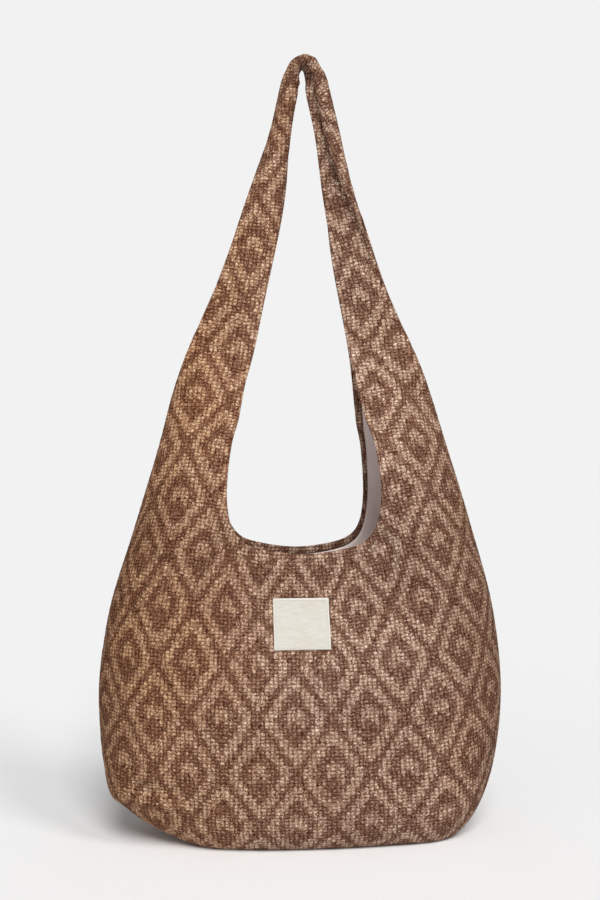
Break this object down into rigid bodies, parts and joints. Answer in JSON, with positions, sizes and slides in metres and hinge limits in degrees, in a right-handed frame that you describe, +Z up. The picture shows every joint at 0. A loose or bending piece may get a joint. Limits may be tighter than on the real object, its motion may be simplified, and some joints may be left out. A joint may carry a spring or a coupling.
{
  "type": "hobo shoulder bag",
  "caption": "Slouch shoulder bag of coarse woven cloth with a diamond pattern, a wide strap that grows out of the body, a pale lining and a bare label patch.",
  "frame": {"origin": "middle of the flat base, on the surface that the bag stands on", "axes": "+Z up along the raised strap, +X to the right of the front, +Y from the front to the back"},
  "size_m": [0.3804, 0.1716, 0.7339],
  "materials": {
    "woven_cloth": "coarse woven, matt, two browns in a diamond lattice",
    "lining": "smooth plain weave, matt",
    "label": "fine ribbon weave, slightly silky"
  },
  "bodies": {
    "root": {"front_panel": "woven_cloth", "back_panel": "woven_cloth", "front_lining": "lining", "back_lining": "lining", "label_patch": "label"}
  },
  "joints": []
}
